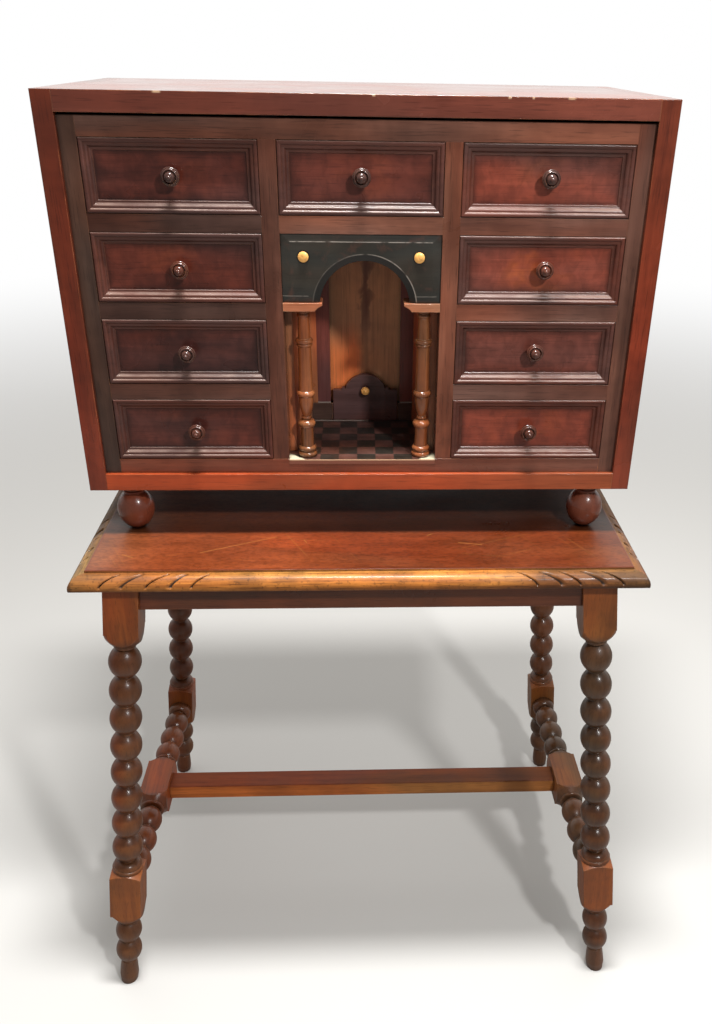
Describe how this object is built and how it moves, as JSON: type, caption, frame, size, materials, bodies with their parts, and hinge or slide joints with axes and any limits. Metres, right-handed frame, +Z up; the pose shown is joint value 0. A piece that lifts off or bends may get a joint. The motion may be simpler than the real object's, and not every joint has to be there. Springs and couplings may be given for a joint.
{
  "type": "vargueno cabinet on stand",
  "caption": "Table cabinet of moulded drawers round an arched niche with turned columns and a secret drawer, standing on ball feet on a splayed bobbin-turned stand.",
  "frame": {"origin": "on the floor under the middle of the stand, which is the bottom centre of the whole object", "axes": "+Z up, front of the cabinet towards -Y, +X to the right of someone facing the front"},
  "size_m": [0.6546, 0.4352, 1.074],
  "materials": {
    "stand_wood": "turned walnut-brown wood, worn French polish",
    "top_wood": "glossy red-brown board with scratches",
    "case_wood": "polished red mahogany, rubbed edges",
    "inner_wood": "plain unpolished softwood",
    "frame_wood": "brown polished wood",
    "pale_wood": "pale orange polished wood",
    "column_wood": "turned brown wood",
    "niche_wood": "orange-brown veneer",
    "chequer_wood": "dark and red squares of veneer",
    "ebonised_wood": "blackened wood, satin",
    "drawer_wood": "dark mahogany front with near-black mouldings",
    "knob_wood": "turned dark wood",
    "bone": "polished bone, yellowed"
  },
  "bodies": {
    "stand": {"table_top": "top_wood", "apron_front": "stand_wood", "apron_back": "stand_wood", "apron_left": "stand_wood", "apron_right": "stand_wood", "leg_front_left": "stand_wood", "leg_front_right": "stand_wood", "leg_rear_left": "stand_wood", "leg_rear_right": "stand_wood", "stretcher_left": "stand_wood", "stretcher_right": "stand_wood", "stretcher_cross": "stand_wood"},
    "cabinet": {"case_side_left": "case_wood", "case_side_right": "case_wood", "case_top": "case_wood", "case_bottom": "case_wood", "case_back": "inner_wood", "ball_feet": "case_wood", "rail_top": "frame_wood", "rail_bottom": "frame_wood", "rail_centre": "frame_wood", "dust_board": "inner_wood", "stile_left": "frame_wood", "stile_right": "frame_wood", "partition_left": "frame_wood", "partition_right": "frame_wood", "rails_left": "frame_wood", "rails_right": "frame_wood", "drawer_runners": "inner_wood", "niche_floor": "chequer_wood", "niche_wall_left": "niche_wood", "niche_wall_right": "niche_wood", "impost_left": "pale_wood", "impost_right": "pale_wood", "column_left": "column_wood", "column_right": "column_wood", "niche_back": "niche_wood", "niche_step": "chequer_wood", "arch_board": "ebonised_wood", "bone_studs": "bone"},
    "drawer_left_1": {"drawer_left_1": "drawer_wood", "knob_left_1": "knob_wood"},
    "drawer_left_2": {"drawer_left_2": "drawer_wood", "knob_left_2": "knob_wood"},
    "drawer_left_3": {"drawer_left_3": "drawer_wood", "knob_left_3": "knob_wood"},
    "drawer_left_4": {"drawer_left_4": "drawer_wood", "knob_left_4": "knob_wood"},
    "drawer_right_1": {"drawer_right_1": "drawer_wood", "knob_right_1": "knob_wood"},
    "drawer_right_2": {"drawer_right_2": "drawer_wood", "knob_right_2": "knob_wood"},
    "drawer_right_3": {"drawer_right_3": "drawer_wood", "knob_right_3": "knob_wood"},
    "drawer_right_4": {"drawer_right_4": "drawer_wood", "knob_right_4": "knob_wood"},
    "drawer_middle_1": {"drawer_middle_1": "drawer_wood", "knob_middle_1": "knob_wood"},
    "secret_drawer": {"secret_drawer": "ebonised_wood", "secret_knob": "bone"}
  },
  "joints": [
    {"name": "cabinet_lift", "type": "slide", "parent": "stand", "child": "cabinet", "axis": [0, 0, 1], "range_m": [0, 0.1]},
    {"name": "drawer_left_1_slide", "type": "slide", "parent": "cabinet", "child": "drawer_left_1", "axis": [0, -1, 0], "range_m": [0, 0.22]},
    {"name": "drawer_left_2_slide", "type": "slide", "parent": "cabinet", "child": "drawer_left_2", "axis": [0, -1, 0], "range_m": [0, 0.22]},
    {"name": "drawer_left_3_slide", "type": "slide", "parent": "cabinet", "child": "drawer_left_3", "axis": [0, -1, 0], "range_m": [0, 0.22]},
    {"name": "drawer_left_4_slide", "type": "slide", "parent": "cabinet", "child": "drawer_left_4", "axis": [0, -1, 0], "range_m": [0, 0.22]},
    {"name": "drawer_right_1_slide", "type": "slide", "parent": "cabinet", "child": "drawer_right_1", "axis": [0, -1, 0], "range_m": [0, 0.22]},
    {"name": "drawer_right_2_slide", "type": "slide", "parent": "cabinet", "child": "drawer_right_2", "axis": [0, -1, 0], "range_m": [0, 0.22]},
    {"name": "drawer_right_3_slide", "type": "slide", "parent": "cabinet", "child": "drawer_right_3", "axis": [0, -1, 0], "range_m": [0, 0.22]},
    {"name": "drawer_right_4_slide", "type": "slide", "parent": "cabinet", "child": "drawer_right_4", "axis": [0, -1, 0], "range_m": [0, 0.22]},
    {"name": "drawer_middle_1_slide", "type": "slide", "parent": "cabinet", "child": "drawer_middle_1", "axis": [0, -1, 0], "range_m": [0, 0.22]},
    {"name": "secret_drawer_slide", "type": "slide", "parent": "cabinet", "child": "secret_drawer", "axis": [0, -1, 0], "range_m": [0, 0.09]}
  ]
}
